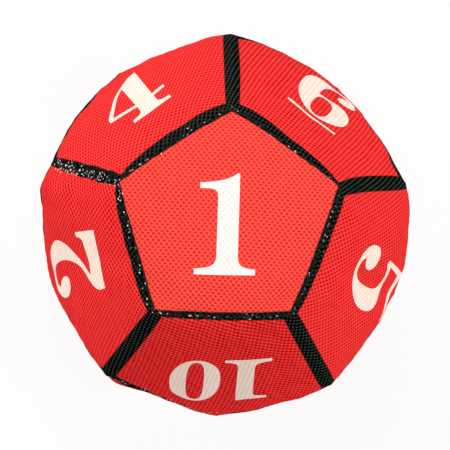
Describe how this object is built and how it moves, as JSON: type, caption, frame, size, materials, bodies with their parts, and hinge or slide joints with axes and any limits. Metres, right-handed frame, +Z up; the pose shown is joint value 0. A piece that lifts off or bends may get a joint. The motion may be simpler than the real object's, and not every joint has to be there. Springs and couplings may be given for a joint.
{
  "type": "soft polyhedral die",
  "caption": "Stuffed cloth dodecahedron die: pentagon caps and folded strips sewn together with turned-in seams around a fibre filling, for rolling on a table or floor",
  "frame": {"origin": "middle of the footprint, on the surface that the die rests on", "axes": "+Z up through the middle of the resting face and the opposite face; +Y toward the corner at the top of the upper face"},
  "size_m": [0.118, 0.1216, 0.107],
  "materials": {
    "cover_cloth": "printed plain weave",
    "thread": "satin polyester thread",
    "fibre": "loose polyester fibre"
  },
  "bodies": {
    "root": {"top_panel": "cover_cloth", "upper_strip": "cover_cloth", "lower_strip": "cover_cloth", "bottom_panel": "cover_cloth", "top_panel_thread": "thread", "upper_strip_thread": "thread", "equator_thread": "thread", "gap_closing_thread": "thread", "lower_strip_thread": "thread", "bottom_panel_thread": "thread", "stuffing": "fibre"}
  },
  "joints": []
}
